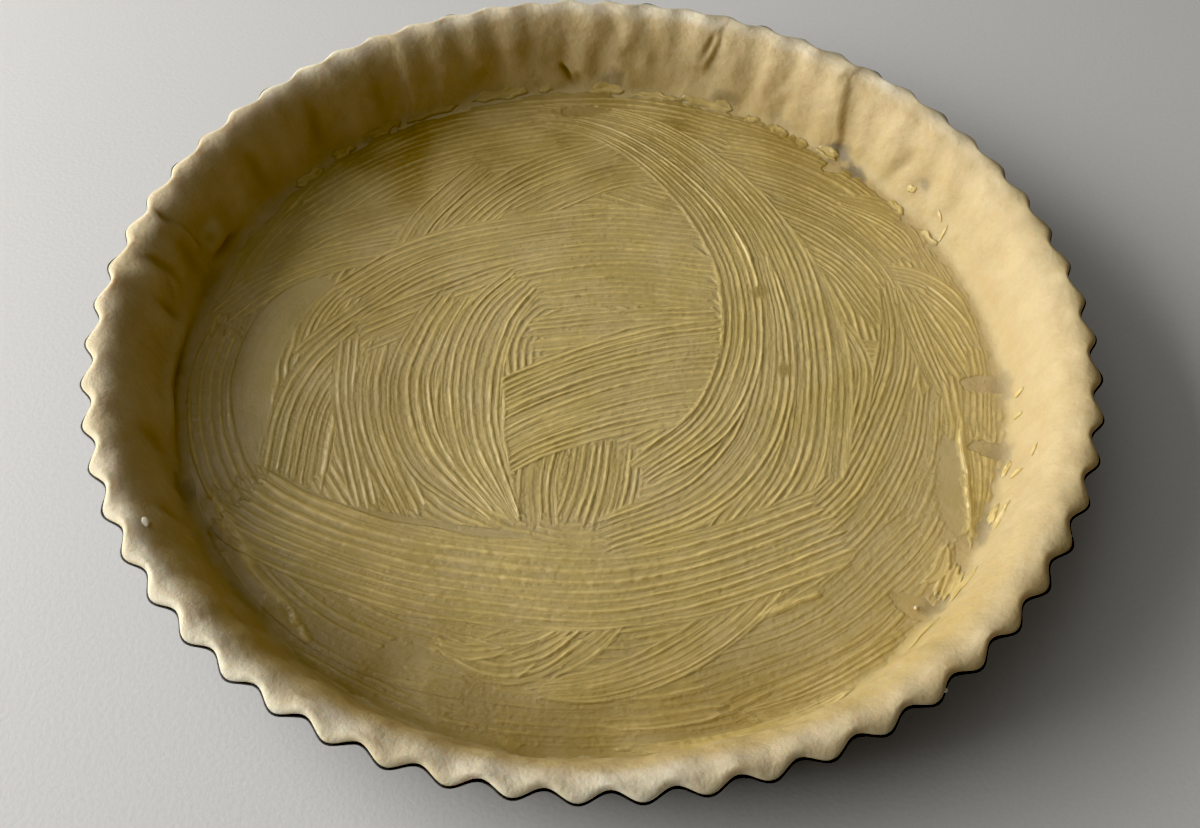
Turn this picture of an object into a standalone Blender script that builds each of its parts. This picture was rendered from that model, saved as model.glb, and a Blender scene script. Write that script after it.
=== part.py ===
"""An unbaked quiche case: shortcrust pastry pressed into a fluted tart tin, its floor brushed with mustard.

Metres, +Z up. The origin is the middle of the tin's underside.
"""

import math

import bmesh
import bpy
from mathutils import Matrix, Vector

MM = 0.001
GAP = 0.3 * MM
COLLECTION = "quiche_case"

# The tin: 280 mm over the tips of its flutes, 30 mm high, pressed from 0.6 mm sheet
TIN_ACROSS = 280 * MM
TIN_HEIGHT = 30 * MM
SHEET = 0.6 * MM
FLUTES = 62
FLUTE_DEPTH = 2.8 * MM
FLUTE_START = math.radians(3.18)
STEPS_PER_FLUTE = 6
FOOT_RADIUS = 125.5 * MM
FOOT_HEIGHT = 2.2 * MM
FOOT_FLARE = 2.1 * MM

# The pastry: its floor, and the rolled edge that it makes along the tin's rim
FLOOR_TOP = 5.0 * MM
FLOOR_RADIUS = 118.6 * MM
FILLET = (121.6 * MM, 6.3 * MM)
WALL_FOOT = (124.2 * MM, 9.8 * MM)
WALL_MIDDLE = (127.6 * MM, 18.5 * MM)
LIP = (131.4 * MM, 28.9 * MM)
CREST = (134.3 * MM, 30.6 * MM)
ROLL_WIDTH = 1.6 * MM
WALL_STEPS_PER_FLUTE = 3
HAND_MARKS = 0.7 * MM
EDGE_WANDER = 0.35 * MM

# Where the sheet of dough was folded or lapped: angle, step in its inner face, and how far the step runs out
LAPS = (
    (math.radians(124), 0.9 * MM, math.radians(-11)),
    (math.radians(71), 1.1 * MM, math.radians(7)),
    (math.radians(49), 1.3 * MM, math.radians(12)),
    (math.radians(168), 1.3 * MM, math.radians(14)),
    (math.radians(176), 0.9 * MM, math.radians(-9)),
)

# The mustard: a thin brushed layer
SPREAD_RADIUS = 117.2 * MM
SPREAD_THICKNESS = 0.4 * MM
SPREAD_STEPS = 60
SPREAD_WANDER = 0.9 * MM
RIDGE_FOOT = 0.08 * MM
RIDGE_HEIGHT = 0.36 * MM
STROKE_SINK = 0.25 * MM
STROKE_LIFT = 0.01 * MM
STROKE_STEP = math.radians(11)

# Each brush stroke is an arc through three points of the floor, in millimetres, with its number of ridges
# and their pitch. A later stroke lies over an earlier one.
STROKES = (
    ((-104, 34), (-105, -24), (-78, -72), 4, 3.4),
    ((-99, 44), (-73, 78), (-23, 101), 6, 3.4),
    ((-98, 26), (-78, 48), (-50, 62), 5, 3.4),
    ((-84, -64), (-14, -97), (46, -90), 5, 3.6),
    ((48, 84), (80, 66), (95, 40), 6, 3.4),
    ((96, 30), (87, -34), (38, -86), 6, 3.6),
    ((-92, -46), (-12, -73), (60, -54), 7, 3.2),
    ((-85, 4), (-88, -20), (-83, -46), 3, 3.4),
    ((-52, 40), (-30, 70), (4, 84), 6, 3.2),
    ((-8, 106), (56, 62), (62, -38), 6, 3.0),
    ((-66, 14), (-20, 41), (34, 42), 7, 3.0),
    ((-18, -18), (4, -9), (27, -3), 8, 3.2),
    ((2, 92), (41, 12), (6, -47), 5, 2.8),
    ((-38, 20), (-46, -12), (-32, -54), 7, 3.0),
)


def fluting(angle):
    """The wave of the flutes round the tin: 1 on an outward flute, -1 between two."""
    return math.cos(FLUTES * (angle - FLUTE_START))


def unevenness(angle):
    """The slow wander of an edge pressed by hand, from about -1 to 1."""
    return (
        0.42 * math.sin(3 * angle + 0.7)
        + 0.30 * math.sin(7 * angle + 2.1)
        + 0.18 * math.sin(13 * angle + 4.0)
        + 0.10 * math.sin(23 * angle + 1.3)
    )


def back_share(angle):
    """How strongly the flutes show through the dough: most at the back wall, least at the sides."""
    return 0.25 + 0.75 * max(0.0, math.sin(angle)) ** 2


def lap_step(angle):
    """The thickness that laps and folds of the dough add at an angle."""
    added = 0.0
    for start, step, run in LAPS:
        along = math.remainder(angle - start, math.tau) / run
        if 0.0 <= along < 1.0:
            added += step * (1.0 - along) ** 1.5
    return added


def finish(color, roughness, metallic=0.0):
    """The numbers of a Principled material."""
    return {"Base Color": (*color, 1.0), "Roughness": roughness, "Metallic": metallic}


def material(name, values):
    made = bpy.data.materials.new(name)
    made.use_nodes = True
    shader = made.node_tree.nodes["Principled BSDF"]
    for socket, value in values.items():
        shader.inputs[socket].default_value = value
    return made


def add_object(form, name, collection, values=None):
    """Turns a bmesh into a smooth-shaded object of a collection."""
    bmesh.ops.recalc_face_normals(form, faces=form.faces)
    mesh = bpy.data.meshes.new(name)
    form.to_mesh(mesh)
    form.free()
    mesh.shade_smooth()
    mesh.set_sharp_from_angle(angle=math.radians(40))
    made = bpy.data.objects.new(name, mesh)
    if values:
        mesh.materials.append(material(name, values))
    collection.objects.link(made)
    return made


def turn(form, rings, steps):
    """Spins a profile round +Z. A ring is its radius, height, share of the fluting and share of the unevenness."""
    fluted = form.verts.layers.float.get("fluted") or form.verts.layers.float.new("fluted")
    loose = form.verts.layers.float.get("loose") or form.verts.layers.float.new("loose")
    start = Matrix.Rotation(FLUTE_START, 3, "Z")
    chain = []
    for radius, height, fluted_share, loose_share in rings:
        vert = form.verts.new(start @ Vector((radius, 0, height)))
        vert[fluted] = fluted_share
        vert[loose] = loose_share
        chain.append(vert)
    edges = [form.edges.new(pair) for pair in zip(chain, chain[1:])]
    bmesh.ops.spin(
        form, geom=chain + edges, cent=(0, 0, 0), axis=(0, 0, 1), angle=math.tau, steps=steps, use_merge=True
    )


def open_edges(form, above=-1.0):
    return [edge for edge in form.edges if edge.is_boundary and edge.verts[0].co.z > above]


def shift(form, radial, vertical):
    """Moves each vertex outwards and upwards by functions of its angle and its two shares."""
    fluted = form.verts.layers.float["fluted"]
    loose = form.verts.layers.float["loose"]
    for vert in form.verts:
        angle = math.atan2(vert.co.y, vert.co.x)
        radius = math.hypot(vert.co.x, vert.co.y)
        stretch = 1.0 + radial(angle, vert[fluted], vert[loose]) / radius
        vert.co.x *= stretch
        vert.co.y *= stretch
        vert.co.z += vertical(angle, vert[fluted], vert[loose])


def make_tin(collection):
    """The fluted dish: one closed wall from the underside over the rim to the inner floor."""
    rim = TIN_ACROSS / 2 - FLUTE_DEPTH / 2
    form = bmesh.new()
    rings = (
        (FOOT_RADIUS, 0.0, 0.55, 0.0),
        (FOOT_RADIUS + FOOT_FLARE, FOOT_HEIGHT, 0.75, 0.0),
        (rim, TIN_HEIGHT, 1.0, 0.0),
        (rim - SHEET, TIN_HEIGHT, 1.0, 0.0),
        (FOOT_RADIUS + FOOT_FLARE / 2 - SHEET, SHEET, 0.6, 0.0),
    )
    turn(form, rings, FLUTES * STEPS_PER_FLUTE)
    shift(form, lambda angle, fluted, loose: fluted * FLUTE_DEPTH / 2 * fluting(angle), lambda *shares: 0.0)
    bmesh.ops.holes_fill(form, edges=open_edges(form), sides=0)
    return add_object(form, "tin", collection, finish((0.025, 0.024, 0.025), 0.42, 0.7))


def pastry_radial(angle, fluted, loose):
    """The outside follows the tin, and the inside shows flutes, laps and hand marks softly."""
    showing = fluted * fluting(angle) if fluted > 0.3 else fluted * back_share(angle) * fluting(angle)
    return FLUTE_DEPTH / 2 * showing + loose * (HAND_MARKS * unevenness(angle) - lap_step(angle))


def pastry_vertical(angle, fluted, loose):
    """The edge sags into each outward flute and wanders a little."""
    return EDGE_WANDER * loose * (unevenness(angle * 2 + 1.0) - fluted * fluting(angle))


def make_pastry(collection):
    """The raw case: floor, wall and the rolled edge that fills each flute along the rim."""
    rim = TIN_ACROSS / 2 - FLUTE_DEPTH / 2 - SHEET - GAP
    foot = FOOT_RADIUS - 0.6 * SHEET - GAP
    form = bmesh.new()
    outside = (
        (foot - 1.0 * MM, SHEET + GAP, 0.5, 0.0),
        (foot + FOOT_FLARE - 0.4 * MM, FOOT_HEIGHT + 0.9 * MM, 0.75, 0.0),
        (rim - 0.5 * MM, TIN_HEIGHT - 1.3 * MM, 1.0, 0.0),
        (rim - 1.4 * MM, TIN_HEIGHT, 0.85, 0.3),
        (*CREST, 0.35, 0.8),
    )
    inside = (
        (CREST[0] - ROLL_WIDTH, CREST[1] - ROLL_WIDTH / 4, 0.25, 1.0),
        (*LIP, 0.22, 1.0),
        (*WALL_MIDDLE, 0.3, 1.0),
        (*WALL_FOOT, 0.25, 0.8),
        (*FILLET, 0.1, 0.3),
        (FLOOR_RADIUS, FLOOR_TOP, 0.0, 0.0),
    )
    turn(form, outside, FLUTES * STEPS_PER_FLUTE)
    turn(form, inside, FLUTES * WALL_STEPS_PER_FLUTE)
    bmesh.ops.bridge_loops(form, edges=open_edges(form, above=TIN_HEIGHT / 2))
    shift(form, pastry_radial, pastry_vertical)
    bmesh.ops.holes_fill(form, edges=open_edges(form), sides=0)
    return add_object(form, "pastry", collection, finish((0.80, 0.64, 0.40), 0.62))


def arc_through(start, middle, end):
    """Centre, start angle and signed sweep of the circle arc through three points of the plane."""
    (ax, ay), (bx, by), (cx, cy) = start, middle, end
    twice_area = 2 * (ax * (by - cy) + bx * (cy - ay) + cx * (ay - by))
    a2, b2, c2 = ax * ax + ay * ay, bx * bx + by * by, cx * cx + cy * cy
    x = (a2 * (by - cy) + b2 * (cy - ay) + c2 * (ay - by)) / twice_area
    y = (a2 * (cx - bx) + b2 * (ax - cx) + c2 * (bx - ax)) / twice_area
    first = math.atan2(ay - y, ax - x)
    sweep = (math.atan2(cy - y, cx - x) - first) % math.tau
    if twice_area < 0:
        sweep -= math.tau
    return Vector((x, y, 0)), first, sweep


def make_stroke(index, collection):
    """One ridged ribbon of mustard: a saw-toothed section spun along its arc."""
    start, middle, end, ridges, pitch = STROKES[index]
    centre, first, sweep = arc_through(start, middle, end)
    radius = (Vector((*start, 0)) - centre).length
    spread_top = FLOOR_TOP + GAP + SPREAD_THICKNESS
    foot = spread_top + RIDGE_FOOT + STROKE_LIFT * index
    half = ridges * pitch * MM / 2
    section = [(-half, spread_top - STROKE_SINK), (half, spread_top - STROKE_SINK), (half, foot)]
    for ridge in range(ridges):
        crest = foot + RIDGE_HEIGHT * (0.8 + 0.15 * (ridge % 3))
        section.append((half - (ridge + 0.5) * pitch * MM, crest))
        section.append((half - (ridge + 1) * pitch * MM, foot))
    form = bmesh.new()
    place = Matrix.Translation(centre * MM) @ Matrix.Rotation(first, 4, "Z")
    verts = [form.verts.new(place @ Vector((radius * MM + across, 0, height))) for across, height in section]
    face = form.faces.new(verts)
    steps = max(3, round(abs(sweep) / STROKE_STEP))
    bmesh.ops.spin(
        form, geom=[face, *face.edges, *verts], cent=centre * MM, axis=(0, 0, 1), angle=sweep, steps=steps
    )
    return add_object(form, f"stroke_{index:02d}", collection)


def make_mustard(collection):
    """The thin layer with an uneven edge, and the brush strokes joined onto it."""
    form = bmesh.new()
    middle = FLOOR_TOP + GAP + SPREAD_THICKNESS / 2
    bmesh.ops.create_cone(
        form,
        cap_ends=True,
        segments=SPREAD_STEPS,
        radius1=SPREAD_RADIUS,
        radius2=SPREAD_RADIUS,
        depth=SPREAD_THICKNESS,
        matrix=Matrix.Translation((0, 0, middle)),
    )
    for vert in form.verts:
        angle = math.atan2(vert.co.y, vert.co.x)
        vert.co.xy *= 1.0 + SPREAD_WANDER * (unevenness(angle * 3 + 0.5) - 0.4) / SPREAD_RADIUS
    spread = add_object(form, "mustard", collection, finish((0.62, 0.47, 0.13), 0.34))
    strokes = bpy.data.collections.new("strokes")
    bpy.context.scene.collection.children.link(strokes)
    for index in range(len(STROKES)):
        make_stroke(index, strokes)
    join = spread.modifiers.new("join strokes", "BOOLEAN")
    join.operation = "UNION"
    join.solver = "EXACT"
    join.operand_type = "COLLECTION"
    join.collection = strokes
    apply_modifiers(spread)
    for stroke in list(strokes.objects):
        bpy.data.objects.remove(stroke)
    bpy.data.collections.remove(strokes)
    return spread


def apply_modifiers(target):
    """Makes the evaluated mesh the object's own and clears its modifiers."""
    bpy.context.view_layer.update()
    graph = bpy.context.evaluated_depsgraph_get()
    mesh = bpy.data.meshes.new_from_object(target.evaluated_get(graph))
    target.modifiers.clear()
    target.data = mesh


def main():
    for old in list(bpy.data.objects):
        bpy.data.objects.remove(old)
    collection = bpy.data.collections.new(COLLECTION)
    bpy.context.scene.collection.children.link(collection)
    make_tin(collection)
    make_pastry(collection)
    make_mustard(collection)


main()
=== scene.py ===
"""The looks of an unbaked quiche case: raw shortcrust in a dark fluted tin, its floor brushed with mustard.

The file is laid out as a Blender add-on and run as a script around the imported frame. Metres, +Z up, and the
origin is the middle of the tin's underside. Lengths in the tables below are millimetres, angles are degrees
from +X towards +Y.
"""

import functools
import math

import bmesh
import bpy
import numpy as np
from bpy.props import FloatProperty, FloatVectorProperty, IntProperty, PointerProperty
from mathutils import Matrix, Vector


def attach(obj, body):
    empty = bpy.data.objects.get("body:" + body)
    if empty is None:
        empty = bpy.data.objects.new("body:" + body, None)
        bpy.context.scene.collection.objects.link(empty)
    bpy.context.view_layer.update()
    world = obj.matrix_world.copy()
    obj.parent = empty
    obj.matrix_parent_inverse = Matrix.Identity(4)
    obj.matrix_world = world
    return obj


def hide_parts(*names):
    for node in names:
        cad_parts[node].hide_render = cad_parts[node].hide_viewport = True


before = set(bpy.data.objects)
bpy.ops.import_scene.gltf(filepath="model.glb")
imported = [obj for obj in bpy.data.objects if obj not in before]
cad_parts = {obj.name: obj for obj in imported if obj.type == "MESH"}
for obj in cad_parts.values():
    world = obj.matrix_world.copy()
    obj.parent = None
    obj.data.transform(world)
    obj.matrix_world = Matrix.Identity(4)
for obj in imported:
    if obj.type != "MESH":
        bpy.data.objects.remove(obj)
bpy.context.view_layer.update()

bl_info = {
    "name": "Unbaked Quiche Case",
    "version": (1, 0, 0),
    "blender": (4, 5, 0),
    "location": "View3D > Sidebar > Quiche",
    "description": "Builds a raw quiche case in its fluted tin, with mustard brushed over its floor",
    "category": "Add Mesh",
}

MM = 0.001
CAMERA_PLACE = (0.00223, -0.20885, 0.2713)
CAMERA_AXES = ((0.99923872, 0.03189402, 0.02246667), (-0.03901256, 0.81690977, 0.57544457))
CAMERA_LENS = 33.8
SENSOR = 36.0
BLACK_LEVEL = 0.019
COUNTER_SIZE = 1.6

# The tin, as in the part's source
TIN_ACROSS = 280.0
TIN_HEIGHT = 30.0
FLUTES = 62
FLUTE_DEPTH = 2.8
FLUTE_START = 3.18
FOOT_RADIUS = 125.5
RIM_RADIUS = TIN_ACROSS / 2 - FLUTE_DEPTH / 2
BEND_WIDTH = 2.1
BEND_HEIGHT = 2.2

# The section of the pastry from the floor over the rolled edge and down behind the tin's wall:
# radius, height, share of the fluting, share of the hand marks and share of the sag into the flutes
PASTRY_SECTION = (
    (96, 5.2, 0, 0, 0),
    (110, 5.2, 0, 0.1, 0),
    (116.5, 5.2, 0, 0.2, 0),
    (119.6, 5.3, 0.03, 0.5, 0),
    (121.2, 5.8, 0.05, 0.7, 0),
    (122.3, 6.9, 0.07, 0.9, 0),
    (123.1, 8.6, 0.1, 1, 0),
    (124, 11.5, 0.14, 1, 0),
    (125.1, 15.2, 0.22, 1, 0),
    (126.1, 19, 0.28, 1, 0),
    (127.1, 22.6, 0.3, 1, 0),
    (128.4, 25.5, 0.28, 1, 0),
    (130, 27.9, 0.27, 1, 0),
    (131.8, 29.6, 0.27, 1, 0.05),
    (133.5, 30.7, 0.36, 0.9, 0.25),
    (134.9, 31.2, 0.46, 0.7, 0.45),
    (136.2, 31.4, 0.66, 0.5, 0.75),
    (137.1, 31.15, 0.85, 0.3, 0.9),
    (137.8, 30.7, 1, 0.1, 0.9),
    (138.06, 30.3, 1, 0, 0.7),
    (137.85, 30, 1, 0, 0.5),
    (137.6, 29.6, 1, 0, 0.5),
    (137.5, 29, 1, 0, 0.5),
    (137, 28, 1, 0, 0.3),
    (135.4, 24, 0.98, 0, 0),
    (132.1, 16, 0.95, 0, 0),
    (127.1, 3.8, 0.75, 0, 0),
    (125.2, 1.4, 0.5, 0, 0),
    (123.5, 0.8, 0.4, 0, 0),
)
FLOOR_TOP = 5.2
MUSTARD_REACH = 123.9
BACK_WAVES = 1.15
EDGE_WIDTH = 6.4
WALL_RISE = 25.0
PASTRY_STEPS = 16

# Radius and girth of the dough's wall and of the mustard's edge, for patterns that close round the case
WALL_RADIUS, WALL_GIRTH = 131.0, 823.1
RING_RADIUS, RING_GIRTH = 118.0, 741.4

# The mustard's strips meet at these shares of its reach, which gives them about the same area
STRIP_CUTS = (0.158, 0.492)
UNDERSIDE = FLOOR_TOP - 0.75
NO_MUSTARD = -0.4

# Numbers of the first stroke among the dabs and among those at the wall's foot, for their random rows
FIRST_DAB, FIRST_FOOT_DAB = 60, 80

# Cells of the patch that a smear is made of, how far its edge sinks into the dough, and its depth below that
SMEAR_CELLS = (44, 22)
SMEAR_SINK = 0.12
SMEAR_DEPTH = 0.8

# Crumbs beyond this radius lie on the rolled edge and follow its flutes
EDGE_CRUMBS = 135.0

# Laps of the dough: angle at the floor, angle at the edge, step, how far it runs out, lowest height
LAPS = (
    (123.8, 123.3, 0.9, -11, 5),
    (75.2, 72.6, 1.1, 7, 17),
    (48.5, 51.6, 1.4, 12, 5),
    (166, 168.6, 1.2, 12, 16),
    (179.5, 174.6, 1.3, -9, 15),
)

# Dents (negative) and bulges of the wall: angle, height, reach round, reach up, turn, depth. The dents also
# get painted shade and the bulges painted light
WALL_MARKS = (
    (74, 25.5, 1, 4.8, 18, -1.2),
    (71.3, 27, 2.2, 5, 10, 0.7),
    (33, 15, 3.6, 3.4, 0, -0.55),
    (33, 15, 1.4, 1.3, 0, 0.35),
    (188, 6.3, 30, 0.9, 0, -1),
    (188, 9.6, 26, 3, 0, 1),
    (177.4, 27.5, 3.4, 4.6, 8, 1.7),
    (174.7, 24, 1.6, 6, -12, -1),
    (178.9, 15.5, 1.5, 6.5, -8, -1),
    (181.6, 17, 4, 7, 0, 0.8),
    (164, 14.5, 6.6, 5.8, 20, -1.5),
    (164, 14.5, 4.2, 3.9, 20, 3),
    (165, 15.6, 1.8, 1.8, 0, -0.5),
    (163, 8.8, 7, 1.3, 6, -1.2),
    (170, 18, 2.6, 8, 0, -0.8),
    (195, 15, 6, 7, 0, 0.8),
    (200.5, 18, 2.6, 7, 8, -0.7),
    (207, 14, 5, 8, 8, 0.7),
    (212.5, 20, 2.6, 6, 0, -0.6),
    (156.5, 17, 4, 8, 0, 0.8),
    (151.5, 18, 2.4, 8, -6, -0.8),
    (146, 15, 4, 7, 0, 0.6),
    (139.5, 18, 2.8, 9, 6, -0.9),
    (133, 14, 4, 7, 0, 0.7),
    (128, 18, 2.6, 8, 0, -0.7),
    (96.6, 11, 0.9, 3.4, -35, -2),
    (94.6, 8.5, 2.6, 2.4, 0, -1),
    (60, 13, 2.2, 6.5, 20, -0.7),
    (38, 15, 2, 8, 20, -0.7),
    (42.5, 18, 3, 8, 14, 0.5),
    (27, 17, 4, 7, 10, -0.3),
    (100, 17, 2.6, 8, 0, -0.6),
    (111, 14, 3, 6, 0, -0.5),
    (82.5, 19, 2.8, 8, 0, -0.7),
    (66, 17, 2.4, 8, 10, -0.5),
    (168.6, 29.6, 1.3, 2.6, 0, -1),
    (52.4, 29.8, 1.2, 3, 0, -0.9),
    (123.4, 30, 1.2, 2.6, 0, -0.7),
    (243, 30.2, 2.6, 1.6, 0, -0.5),
    (250, 30.6, 1.6, 1.2, 0, 0.4),
    (229, 30.4, 2, 1.2, 0, -0.4),
)

# Places where the dough is thin and the tin shows grey: angle, height, reach round, reach up, how much
THIN_DOUGH = (
    (48.5, 7, 5, 4, 0.9),
    (44, 5.3, 6, 3, 0.9),
    (33, 15, 2, 1.8, 0.5),
    (89, 10, 5, 3.5, 0.5),
    (345, 5.4, 7, 4, 0.42),
    (333, 5.6, 7, 3, 0.5),
    (320, 5.5, 7, 4, 0.5),
    (357, 5.6, 6.5, 3.6, 0.42),
    (206, 7, 7, 3.6, 0.5),
    (186, 7.5, 8, 2.6, 0.35),
    (170, 7, 7, 3, 0.3),
    (224, 6.4, 9, 2.4, 0.3),
    (70, 9, 5, 3, 0.35),
    (131, 6.5, 6, 2, 0.3),
    (60, 8, 4, 2.5, 0.35),
)

# Brush strokes of the mustard, oldest first: points of the middle line, width, pitch of the ridges, their
# height, height of the bead along the edges
STROKES = (
    (((-84, 82), (-104, 52), (-114, 20), (-116, -12), (-110, -42)), 12, 2.8, 0.34, 0.2),
    (((-112, -20), (-106, -50), (-92, -74), (-70, -94), (-52, -104)), 14, 3, 0.3, 0.2),
    (((-104, 44), (-90, 72), (-66, 94), (-36, 108)), 14, 2.5, 0.42, 0.1),
    (((-56, 107), (-24, 115), (8, 117), (44, 110)), 15, 2.4, 0.42, 0.2),
    (((30, 111), (62, 98), (88, 80)), 14, 2.2, 0.36, 0.1),
    (((62, 105), (92, 75), (108, 46)), 13, 2.2, 0.3, 0.1),
    (((104, 52), (114, 22), (116, 2), (114, -12), (112, -24)), 12, 1.7, 0.32, 0.1),
    (((-76, -94), (-30, -113), (20, -114), (62, -102)), 17, 2.6, 0.2, 0.2),
    (((36, -112), (76, -90), (106, -54)), 13, 2.4, 0.24, 0.2),
    (((-106, 2), (-100, 34), (-86, 58), (-66, 76)), 22, 2.6, 0.3, 0.1),
    (((-92, 50), (-70, 72), (-46, 86), (-14, 96)), 26, 2.4, 0.4, 0.1),
    (((-104, 30), (-86, 46), (-62, 58), (-44, 64)), 15, 2.2, 0.28, 0.1),
    (((-115, 8), (-103, 23), (-84, 35), (-62, 42)), 13, 2.3, 0.32, 0.1),
    (((-82, 25), (-94, 14), (-99, 0), (-100, -18), (-95, -36), (-87, -48)), 13, 3, 0.03, 0),
    (((-111, 4), (-112, -14), (-107, -34), (-96, -53), (-82, -64)), 13, 2.9, 0.4, 0.2),
    (((-86, -4), (-85.5, 7), (-82, 17), (-76, 25)), 9, 1.8, 0.34, 0.1),
    (((-88, -6), (-80, 5), (-70, 17)), 8, 2.2, 0.32, 0.1),
    (((-70, 8), (-81, -7), (-86, -24), (-86, -48)), 13, 3.2, 0.4, 0.1),
    (((-72, -8), (-77, -24), (-77, -50)), 11, 3, 0.42, 0.2),
    (((-74, 4), (-72, -16), (-67, -34), (-59, -57)), 9, 2.3, 0.36, 0.1),
    (((-64, 2), (-64.5, -16), (-60, -34), (-47, -58)), 11, 2.5, 0.36, 0.1),
    (((40, 97), (60, 92), (82, 78), (99, 56)), 16, 2.1, 0.34, 0.1),
    (((46, 84), (66, 76), (84, 62), (99, 42)), 14, 2, 0.34, 0.1),
    (((56, 66), (74, 56), (86, 42), (94, 24)), 13, 2, 0.36, 0.1),
    (((64, 50), (78, 38), (89, 16)), 11, 2.1, 0.34, 0.1),
    (((79, 5), (90, 5)), 10, 1.8, 0.3, 0),
    (((80, 70), (92, 65), (101, 57), (104.5, 46)), (9, 13, 12, 8), 2, 0.4, 0.2),
    (((93, 38), (103, 35), (111, 27), (114, 14)), 9, 1.9, 0.34, 0.1),
    (((99, 33), (109, 20), (114, 4)), 10, 1.9, 0.36, 0.2),
    (((97, 31), (104, 14), (110, -3)), 9, 2.1, 0.38, 0.1),
    (((92, 35), (93, 14), (88, -8), (73, -40), (58, -56)), (9, 13, 14, 13), 1.8, 0.27, 0.2),
    (((96, 27), (99, 10), (103, -9)), 8, 1.9, 0.38, 0.1),
    (((99, -8), (92, -34), (76, -60), (50, -80)), (12, 18, 18), 2, 0.2, 0.1),
    (((100, -38), (88, -60), (62, -84), (28, -99)), 16, 2.3, 0.18, 0.1),
    (((90, -52), (62, -80), (30, -94), (0, -103)), 12, 2.6, 0.17, 0.1),
    (((92, -80), (78, -92), (58, -104), (40, -110)), (5, 9, 9, 5), 1.6, 0.3, 0.2),
    (((-98, -48), (-80, -74), (-52, -92), (-16, -99), (14, -98)), 22, 2.8, 0.22, 0.1),
    (((110.5, -22), (109, -40), (104, -61)), (12, 8, 2), 1.9, 0.4, 0.2),
    (((-13, -106), (6, -103), (22, -96), (37, -85), (50, -72)), (5, 9, 11, 12, 10), 1.9, 0.38, 0.2),
    (((4, -113.5), (20, -111.5), (37.5, -108)), (4, 5, 4.5), 1.7, 0.3, 0.35),
    (((-7, -99), (1, -93), (9, -85)), (8, 9, 8), 1.9, 0.3, 0.1),
    (((-38, -92), (-24, -98), (-12, -97), (0, -88)), (7, 12, 10), 3, 0.4, 0.15),
    (((-37, -94), (-28, -96), (-18, -94.5)), (3, 5, 4), 2.2, 0.45, 0.3),
    (((-26, -92.5), (-15, -91), (-4, -86.5)), (3, 6, 4), 2.4, 0.42, 0.3),
    (((-19, -98), (-11, -95), (-2, -89.5)), (3, 5, 3), 2.4, 0.45, 0.3),
    (((-92, -46), (-70, -57), (-44, -62), (-14, -65)), 7, 2.4, 0.04, 0),
    (((-20, 82), (6, 73), (26, 66)), 18, 2.1, 0.34, 0.1),
    (((-60, 36), (-56, 52), (-48, 66), (-38, 80)), 14, 2.3, 0.36, 0.1),
    (((-48, 46), (-36, 64), (-20, 78), (4, 90)), 15, 2.2, 0.38, 0.2),
    (((-28, 56), (-12, 68), (4, 77), (18, 80)), 13, 2.1, 0.36, 0.1),
    (((-76, 16), (-56, 34), (-30, 45), (2, 52), (34, 50)), 22, 2.3, 0.38, 0.2),
    (((-70, 4), (-48, 18), (-22, 31), (8, 37), (38, 35)), 15, 2.2, 0.36, 0.2),
    (((-18, 22), (8, 26), (38, 24)), 13, 2.4, 0.38, 0.1),
    (((-20, 5), (4, 9), (38, 13)), 18, 2.4, 0.36, 0.1),
    (((-12, -28), (-14, -44), (-13, -60)), 14, 2.5, 0.38, 0.1),
    (((5, -30), (3.5, -46), (0, -60)), 21, 2.4, 0.38, 0.1),
    (((-32, -33), (-22, -25), (-8, -17), (8, -10), (24, -5), (42, -2)), (30, 36, 40), 2.2, 0.4, 0.2),
    (((71, 21), (77, 10), (79.5, -1), (77, -14), (72, -27)), 8, 1.9, 0.38, 0.2),
    (((62, 48), (69, 24), (71, -6), (66, -42)), 12, 2, 0.35, 0.2),
    (((-26, 109), (-4, 108), (16, 101), (34, 86), (49, 65), (58, 42), (62, 15), (61, -12), (55, -38),
      (38, -62)), (9, 12, 15, 19, 20, 20, 17), 2.1, 0.37, 0.2),
    (((-96, -54), (-82, -62), (-60, -70), (-36, -75), (0, -77), (24, -73), (46, -65), (68, -55)),
     25, 2.7, 0.42, 0.2),
    (((51, 42), (54, 14), (51, -14), (43, -34), (28, -50), (4, -62)), (10, 14, 15, 13), 2.1, 0.4, 0.2),
    (((-24, 103), (-8, 101.5), (8, 93), (23, 78), (35, 60), (43, 38), (45, 15), (42, -5), (33, -24),
      (13, -42)), (6, 9, 12, 13, 13, 11), 2.1, 0.42, 0.4),
    (((-44, 22), (-50, 6), (-53, -14), (-45, -38), (-24, -59)), (13, 17, 18, 14, 4), 2.7, 0.36, 0.1),
    (((-22, 30), (-32, 14), (-36, -8), (-32, -34), (-18, -60)), (16, 20, 20, 16, 3), 2.5, 0.38, 0.3),
)

# Beads of mustard pushed up by the brush: points, width, height
BEADS = (
    (((106.4, -21), (106, -29), (105.6, -39), (104.6, -52), (102.9, -62.5)), 1.4, 0.5),
    (((-100, -56), (-92, -66), (-86, -76), (-76, -86), (-68, -95)), 2.2, 0.55),
    (((-104, -52), (-98, -60), (-96, -72)), 1.8, 0.5),
    (((45, -83), (62, -76)), 1.6, 0.4),
    (((-16, -103), (-13.4, -100.5), (-11, -98)), 1, 0.4),
)

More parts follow.
